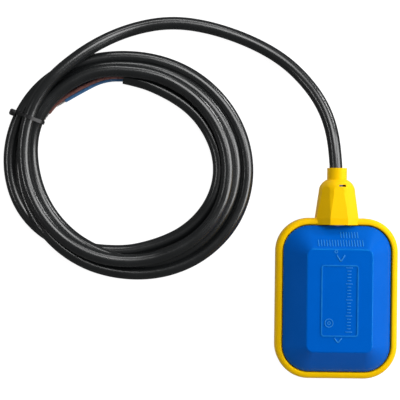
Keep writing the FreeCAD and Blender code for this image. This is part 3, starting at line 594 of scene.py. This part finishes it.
def tie_head(sizes):
    """Locking head on the outer side, with its mouth and the cut end of the strap."""
    shape = bmesh.new()
    reach = max(place[0] for place in tie_places()) * MM + sizes.diameter / 2
    start = reach - TIE_HEAD_INSET
    length, _, tall = TIE_HEAD_SIZE
    bevelled_block(shape, TIE_HEAD_SIZE, (start + length / 2, 0, TIE_HEAD_HEIGHT), 0.6 * MM)
    bevelled_block(shape, TIE_MOUTH_SIZE, (start + length, 0, TIE_HEAD_HEIGHT), 0.35 * MM)
    tail = (TIE_THICKNESS, sizes.tie_width, TIE_TAIL_LENGTH)
    bevelled_block(shape, tail, (start + TIE_TAIL_PLACE, 0, TIE_HEAD_HEIGHT + tall / 2), 0.2 * MM)
    bmesh.ops.translate(shape, verts=shape.verts, vec=(0, TIE_HEAD_ASIDE, 0))
    set_across_coil(shape)
    return mesh_from(shape, "cable_tie_head")


# Raised marks of the front shell

# How far a mark stands out, how deep it is rooted and how its edges are rounded, in metres
MARK_HEIGHT = 0.32 * MM
MARK_SUNK = 0.3 * MM
MARK_ROUNDING = 0.12 * MM

# In millimetres: point, reach to each side and rise of each chevron; centre, radius and width of each ring
CHEVRONS = (((0.4, 8.6), 2.6, 4.2), ((-0.9, -43.4), 2.4, 3.0))
CHEVRON_WIDTH = 0.75
RINGS = (((-2.6, 15.0), 0.9, 0.45), ((-6.8, -30.8), 2.6, 0.5), ((-6.8, -30.8), 0.9, 0.5))

# Column of short bars in millimetres, every fifth of them longer
COLUMN_TOP = (5.9, 4.6)
COLUMN_PITCH = 2.05
COLUMN_BARS = 21
COLUMN_REACHES = (2.2, 1.3)
COLUMN_WIDTH = 0.5

# In millimetres: first and last x, number, start and end along the slope of each row of ribs
RIB_ROWS = ((-13.5, 15.0, 17, 2.4, 8.0), (1.4, 12.2, 7, 9.8, 15.2))
RIB_WIDTH = 0.55
PANEL_EDGE_Y = 16.5
SLOPE_FOOT_Z = 26.0

# Size in metres of one bead at the neck's foot, and how far it stands beyond the shell
BEAD_SIZE = (19.0 * MM, 0.6 * MM, 0.9 * MM)
BEAD_OFFSET = 0.34 * MM


def raised_bar(shape, start, end, width):
    """Bar between two points of the panel; returns its vertices."""
    along = Vector(end) - Vector(start)
    size = (along.length * MM, width * MM, MARK_HEIGHT + MARK_SUNK)
    verts = bevelled_block(shape, size, (0, 0, 0), MARK_ROUNDING, 2)
    turn = Matrix.Rotation(math.atan2(along.y, along.x), 3, "Z")
    bmesh.ops.rotate(shape, verts=verts, cent=(0, 0, 0), matrix=turn)
    middle = (Vector(start) + Vector(end)) * 0.5 * MM
    level = PANEL_Z + (MARK_HEIGHT - MARK_SUNK) / 2
    bmesh.ops.translate(shape, verts=verts, vec=(middle.x, middle.y, level))
    return verts


def raised_ring(shape, centre, radius, width):
    """Flat ring on the panel, turned from one small square."""
    before = set(shape.verts)
    square = bmesh.ops.create_circle(shape, segments=4, radius=width * MM / 2 * math.sqrt(2))["verts"]
    quarter = Matrix.Rotation(math.pi / 4, 3, "Z")
    upright = Matrix.Rotation(math.pi / 2, 3, "X")
    bmesh.ops.rotate(shape, verts=square, cent=(0, 0, 0), matrix=upright @ quarter)
    bmesh.ops.translate(shape, verts=square, vec=(radius * MM, 0, 0))
    edges = list({edge for vert in square for edge in vert.link_edges})
    bmesh.ops.spin(shape, geom=square + edges, cent=(0, 0, 0), axis=(0, 0, 1), angle=2 * math.pi,
                   steps=32, use_merge=True)
    made = [vert for vert in shape.verts if vert not in before]
    bmesh.ops.translate(shape, verts=made, vec=(centre[0] * MM, centre[1] * MM, PANEL_Z))


def chevron(shape, point, reach, rise):
    """V of two bars that meet at a point of the panel."""
    for side in (-1, 1):
        raised_bar(shape, (point[0] + side * reach, point[1] + rise), point, CHEVRON_WIDTH)


def panel_marks():
    """Chevrons, rings and a column of bars on the flat panel."""
    shape = bmesh.new()
    for point, reach, rise in CHEVRONS:
        chevron(shape, point, reach, rise)
    for centre, radius, width in RINGS:
        raised_ring(shape, centre, radius, width)
    x, top = COLUMN_TOP
    for step in range(COLUMN_BARS):
        y = top - step * COLUMN_PITCH
        reach = COLUMN_REACHES[0] if step % 5 == 0 else COLUMN_REACHES[1]
        raised_bar(shape, (x - reach, y), (x + reach, y), COLUMN_WIDTH)
    return mesh_from(shape, "panel_marks")


def slope_ribs():
    """Two rows of short ribs on the shell's top slope."""
    shape = bmesh.new()
    foot_y = SHELL_TOP.y / MM
    tip = math.atan2(PANEL_Z / MM - SLOPE_FOOT_Z, foot_y - PANEL_EDGE_Y)
    lean = Matrix.Rotation(-tip, 3, "X")
    hinge = metres((0, PANEL_EDGE_Y, 0))
    hinge.z = PANEL_Z
    for first_x, last_x, count, start, end in RIB_ROWS:
        for step in range(count):
            x = first_x + (last_x - first_x) * step / (count - 1)
            low = (x, PANEL_EDGE_Y + start)
            high = (x, PANEL_EDGE_Y + end)
            verts = raised_bar(shape, low, high, RIB_WIDTH)
            bmesh.ops.rotate(shape, verts=verts, cent=hinge, matrix=lean)
    return mesh_from(shape, "slope_ribs")


def sealant_beads():
    """Sealing compound in the groove at the neck's foot, over and under the frame's web."""
    shape = bmesh.new()
    level = SEAL_LOW.z + BEAD_SIZE[2] / 2 - MID_Z
    for side in (-1, 1):
        centre = (0, SHELL_TOP.y + BEAD_OFFSET, MID_Z + side * level)
        bevelled_block(shape, BEAD_SIZE, centre, 0.2 * MM)
    return mesh_from(shape, "neck_sealant")


class FLOATSWITCH_OT_sealant(bpy.types.Operator):
    """Sealant: beads of compound that close the groove at the foot of the neck"""

    bl_idname = "floatswitch.sealant"
    bl_label = "Neck Sealant"

    def execute(self, context):
        compound = cast_resin("sealing_compound", (0.03, 0.027, 0.02))
        finished("neck_sealant", sealant_beads(), compound)
        return {"FINISHED"}


class FLOATSWITCH_OT_marks(bpy.types.Operator):
    """Marks: plain ribs, rings and chevrons raised on the front shell"""

    bl_idname = "floatswitch.marks"
    bl_label = "Raised Marks"

    def execute(self, context):
        blue = bpy.data.materials["blue_plastic"]
        finished("panel_marks", panel_marks(), blue)
        finished("slope_ribs", slope_ribs(), blue)
        return {"FINISHED"}


class FLOATSWITCH_OT_mouldings(bpy.types.Operator):
    """Mouldings: finishes of the rim frame, the shells and every piece inside them"""

    bl_idname = "floatswitch.mouldings"
    bl_label = "Mouldings"

    def execute(self, context):
        colours = context.scene.float_colours
        finishes = {
            "yellow_plastic": moulded_plastic(
                "yellow_plastic", colours.rim, 0.4, gloss=0.35, sheen=(1.0, 0.75, 0.08)),
            # The shell's raised border and marks get a painted highlight above the panel's height
            "blue_plastic": moulded_plastic(
                "blue_plastic", colours.shell, 0.22, gloss=0.35, sheen=(0.05, 0.85, 1.0),
                highlight_above=PANEL_Z + BORDER_HEIGHT / 3),
            "grey_plastic": moulded_plastic("grey_plastic", (0.28, 0.29, 0.30), 0.5),
            "white_plastic": moulded_plastic("white_plastic", (0.74, 0.72, 0.68), 0.45),
            "black_plastic": moulded_plastic("black_plastic", (0.015, 0.015, 0.017), 0.45),
            "black_rubber": moulded_plastic("black_rubber", (0.012, 0.012, 0.012), 0.7, 0.6),
            "resin": cast_resin("resin", (0.05, 0.042, 0.036)),
            # Zinc-plated steel is given a dark grey, darker than the plating itself: painted shade, so
            # that the pieces seen through the neck's slot look dark
            "zinc_steel": worked_metal("zinc_steel", (0.20, 0.20, 0.21), 0.42),
            "bright_steel": worked_metal("bright_steel", (0.66, 0.66, 0.67), 0.14),
            "brass": worked_metal("brass", (0.62, 0.43, 0.16), 0.3, (1.0, 8.0, 1.0)),
            "contact_metal": worked_metal("contact_metal", (0.76, 0.76, 0.75), 0.22),
            "spring_bronze": worked_metal("spring_bronze", (0.50, 0.27, 0.12), 0.32, (1.0, 8.0, 1.0)),
            "brown_insulation": drawn_insulation("inner_brown", (0.115, 0.036, 0.022)),
            "blue_insulation": drawn_insulation("inner_blue", (0.022, 0.135, 0.36)),
            "black_insulation": drawn_insulation("inner_black", (0.012, 0.012, 0.013)),
        }
        for part in frame["record"]["subparts"]:
            finish = finishes.get(part["material_slot"])
            node = frame["nodes"][part["node"]]
            if finish and not node.hide_render:
                node.data.materials.clear()
                node.data.materials.append(finish)
        return {"FINISHED"}


# Stage


# Middle of the picture on the floor, the lights' aim from there, and half the floor's width, in metres
PICTURE_MIDDLE = Vector((-0.0902, 0.0469, 0.0))
LIGHT_AIM = PICTURE_MIDDLE + Vector((0.03, 0, 0.01))
FLOOR_REACH = 3.0

# Light that the floor and the sky give of their own
FLOOR_GLOW = 0.95
SKY_STRENGTH = 0.1

# Name, azimuth and elevation in degrees, distance, width and height in metres, share of the key's power
STUDIO_LIGHTS = (
    ("key_right", 4.0, 34.0, 1.1, (0.90, 0.75), 0.88),
    ("overhead", 60.0, 62.0, 1.2, (0.60, 0.60), 0.50),
    ("back_soft", 90.0, 28.0, 1.1, (0.50, 0.20), 0.15),
    ("corner_spot", 42.0, 12.0, 1.1, (0.34, 0.14), 0.24),
    ("edge_left", 178.0, 38.0, 1.1, (0.50, 0.08), 0.09),
)


def area_light(name, place, aim, size, power):
    lamp = bpy.data.lights.new(name, "AREA")
    lamp.shape = "RECTANGLE"
    lamp.size, lamp.size_y = size
    lamp.energy = power
    light = bpy.data.objects.new(name, lamp)
    bpy.context.scene.collection.objects.link(light)
    light.location = place
    light.rotation_mode = "QUATERNION"
    light.rotation_quaternion = (Vector(aim) - Vector(place)).to_track_quat("-Z", "Y")


class FLOATSWITCH_OT_stage(bpy.types.Operator):
    """Stage: a plain pale floor, soft studio lights and the camera straight above"""

    bl_idname = "floatswitch.stage"
    bl_label = "Stage"

    def execute(self, context):
        sizes = context.scene.stage_sizes
        shape = bmesh.new()
        bmesh.ops.create_grid(shape, x_segments=1, y_segments=1, size=FLOOR_REACH)
        bmesh.ops.translate(shape, verts=shape.verts, vec=PICTURE_MIDDLE)
        mesh = bpy.data.meshes.new("floor")
        shape.to_mesh(mesh)
        shape.free()
        floor = bpy.data.objects.new("floor", mesh)
        context.scene.collection.objects.link(floor)
        paper = Finish("floor_paper", Roughness=0.9, Base_Color=(0.2, 0.2, 0.2, 1.0),
                       Emission_Color=(1.0, 1.0, 1.0, 1.0), Emission_Strength=FLOOR_GLOW)
        mesh.materials.append(paper.material)
        floor.visible_glossy = False

        camera = bpy.data.objects.new("camera", bpy.data.cameras.new("camera"))
        context.scene.collection.objects.link(camera)
        camera.location = PICTURE_MIDDLE + Vector((0, 0, sizes.camera_height))
        camera.rotation_euler.z = sizes.camera_turn
        camera.data.lens = sizes.lens
        camera.data.sensor_width = 36.0
        camera.data.clip_start = 0.01
        context.scene.camera = camera

        world = bpy.data.worlds.new("studio")
        world.use_nodes = True
        sky = world.node_tree.nodes["Background"]
        sky.inputs["Color"].default_value = (1.0, 1.0, 1.0, 1.0)
        sky.inputs["Strength"].default_value = SKY_STRENGTH
        context.scene.world = world
        context.scene.view_settings.view_transform = "Standard"

        for name, azimuth, elevation, distance, size, share in STUDIO_LIGHTS:
            flat = distance * math.cos(math.radians(elevation))
            across = flat * math.cos(math.radians(azimuth))
            back = flat * math.sin(math.radians(azimuth))
            up = distance * math.sin(math.radians(elevation))
            place = LIGHT_AIM + Vector((across, back, up))
            area_light(name, place, LIGHT_AIM, size, sizes.key_power * share)
        return {"FINISHED"}


OPERATORS = (
    FLOATSWITCH_OT_mouldings,
    FLOATSWITCH_OT_marks,
    FLOATSWITCH_OT_sealant,
    FLOATSWITCH_OT_tie,
    FLOATSWITCH_OT_cable,
    FLOATSWITCH_OT_cores,
    FLOATSWITCH_OT_stage,
)


class FLOATSWITCH_PT_panel(bpy.types.Panel):
    """Sidebar panel that lists the pieces of the float switch"""

    bl_idname = "FLOATSWITCH_PT_panel"
    bl_label = "Float Switch"
    bl_space_type = "VIEW_3D"
    bl_region_type = "UI"
    bl_category = "Float Switch"

    def draw(self, context):
        for group in (context.scene.float_colours, context.scene.cable_sizes, context.scene.stage_sizes):
            for key in group.__annotations__:
                self.layout.prop(group, key)
        for operator in OPERATORS:
            self.layout.operator(operator.bl_idname)


GROUPS = {"float_colours": FloatColours, "cable_sizes": CableSizes, "stage_sizes": StageSizes}


def register():
    for key, group in GROUPS.items():
        bpy.utils.register_class(group)
        setattr(bpy.types.Scene, key, bpy.props.PointerProperty(type=group))
    for operator in OPERATORS:
        bpy.utils.register_class(operator)
    bpy.utils.register_class(FLOATSWITCH_PT_panel)


def unregister():
    bpy.utils.unregister_class(FLOATSWITCH_PT_panel)
    for operator in reversed(OPERATORS):
        bpy.utils.unregister_class(operator)
    for key, group in GROUPS.items():
        delattr(bpy.types.Scene, key)
        bpy.utils.unregister_class(group)


def main():
    register()
    for operator in OPERATORS:
        family, action = operator.bl_idname.split(".")
        getattr(getattr(bpy.ops, family), action)()


if __name__ == "__main__":
    main()
